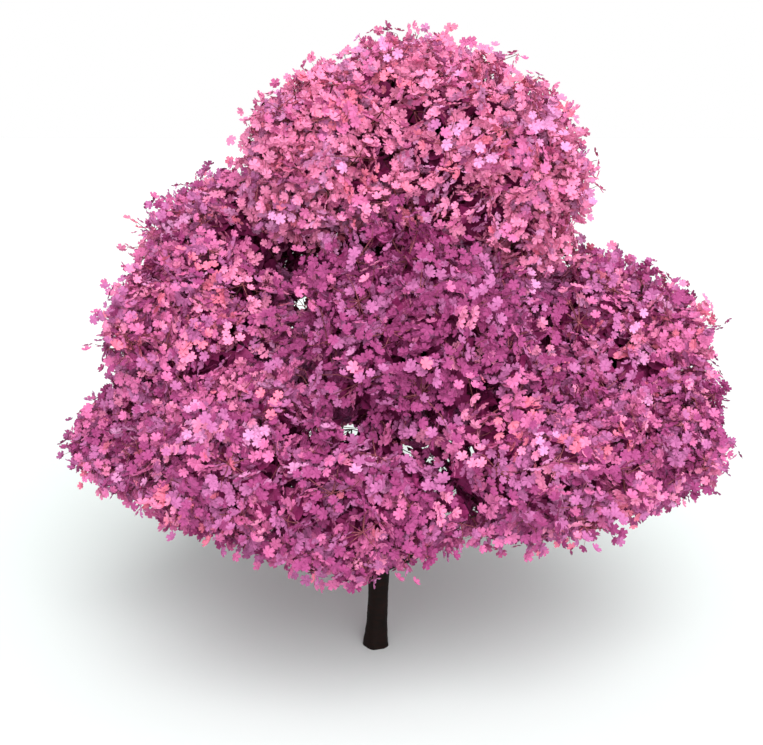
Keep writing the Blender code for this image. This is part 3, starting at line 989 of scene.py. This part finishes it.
def petal_material(tint):
    """Matt petals: a plain tint, with a roughness and a bump that follow fine veins."""
    material, tree, shader = new_material("petal_" + tint.name)
    shader.inputs["Base Color"].default_value = (*tint.colour, 1.0)
    shader.inputs["Specular IOR Level"].default_value = PETAL_GLOSS
    veins = tone_noise(tree, VEIN_SCALE, 1.0, VEIN_DETAIL)
    roughness = ranged(tree, veins, PATTERN_RANGE, PETAL_ROUGHNESS)
    tree.links.new(roughness, shader.inputs["Roughness"])
    bumped(tree, shader, veins, VEIN_BUMP, VEIN_BUMP_DEPTH)
    return material


def wood_material(wood):
    """Bark whose tone, roughness and bump follow one grain."""
    material, tree, shader = new_material(wood.name)
    grain = tone_noise(tree, wood.scale, wood.banding, GRAIN_DETAIL)
    ramp = tree.nodes.new("ShaderNodeValToRGB")
    for element, position, tone in zip(ramp.color_ramp.elements, GRAIN_TONES, (wood.dark, wood.light)):
        element.position = position
        element.color = (*tone, 1.0)
    tree.links.new(grain, ramp.inputs["Fac"])
    tree.links.new(ramp.outputs["Color"], shader.inputs["Base Color"])
    shader.inputs["Specular IOR Level"].default_value = WOOD_GLOSS
    roughness = ranged(tree, grain, PATTERN_RANGE, WOOD_ROUGHNESS)
    tree.links.new(roughness, shader.inputs["Roughness"])
    bumped(tree, shader, grain, GRAIN_BUMP, wood.bump_depth)
    return material


# Camera, light and floor


def make_camera():
    """The camera that fits the photograph."""
    data = bpy.data.cameras.new("camera")
    data.lens = CAMERA_LENS
    data.sensor_width = SENSOR_WIDTH
    data.sensor_fit = "HORIZONTAL"
    data.clip_end = CLIP_END
    camera = bpy.data.objects.new("camera", data)
    camera.location = CAMERA_PLACE
    camera.rotation_euler = (math.pi / 2 - CAMERA_PITCH, 0.0, 0.0)
    bpy.context.scene.collection.objects.link(camera)
    bpy.context.scene.camera = camera


def make_dome():
    """A white dome that is bright at the horizon and weaker overhead."""
    world = bpy.data.worlds.new("studio")
    world.use_nodes = True
    tree = world.node_tree
    dome = tree.nodes["Background"]
    dome.inputs["Color"].default_value = (1.0, 1.0, 1.0, 1.0)
    place = tree.nodes.new("ShaderNodeTexCoord")
    parts = tree.nodes.new("ShaderNodeSeparateXYZ")
    tree.links.new(place.outputs["Generated"], parts.inputs["Vector"])
    strength = ranged(tree, parts.outputs["Z"], DOME_FADE, (1.0, DOME_STRENGTH))
    tree.links.new(strength, dome.inputs["Strength"])
    bpy.context.scene.world = world


def make_suns():
    """Two soft suns from above the front."""
    for name, strength, angle, towards in SUNS:
        data = bpy.data.lights.new(name, "SUN")
        data.energy = strength
        data.angle = math.radians(angle)
        sun = bpy.data.objects.new(name, data)
        sun.rotation_euler = Vector(towards).to_track_quat("-Z", "Y").to_euler()
        bpy.context.scene.collection.objects.link(sun)


def make_floor():
    """A plain pale floor, with the shadow of the crown on it."""
    corners = [(x * FLOOR_HALF, y * FLOOR_HALF, 0) for x, y in ((-1, -1), (1, -1), (1, 1), (-1, 1))]
    mesh = bpy.data.meshes.new("floor")
    mesh.from_pydata(corners, [], [(0, 1, 2, 3)])
    floor = bpy.data.objects.new("floor", mesh)
    bpy.context.scene.collection.objects.link(floor)
    material, _, shader = new_material("floor")
    shader.inputs["Base Color"].default_value = (*FLOOR_COLOUR, 1.0)
    shader.inputs["Roughness"].default_value = FLOOR_ROUGHNESS
    shader.inputs["Specular IOR Level"].default_value = 0.0
    mesh.materials.append(material)


def main():
    """The studio, then the bark, then the blossom mass by mass."""
    make_camera()
    bpy.context.scene.view_settings.view_transform = "Standard"
    make_dome()
    make_suns()
    make_floor()
    limbs, collars = plan_limbs()
    bark, branch_bark, shoot = (wood_material(wood) for wood in (BARK, BRANCH_BARK, SHOOT))
    petals = [petal_material(tint) for tint in TINTS]
    # The last material is the painted shade in the crown's depth.
    looks = Looks(bark, branch_bark, shoot, petals, petal_material(DEPTH_PAINTED_SHADE_TINT))
    make_bark(limbs, collars, looks.bark)
    samples = limb_samples(limbs)
    for index, mass in enumerate(MASSES):
        grow_mass(index, limbs[mass.place], samples, looks)


main()
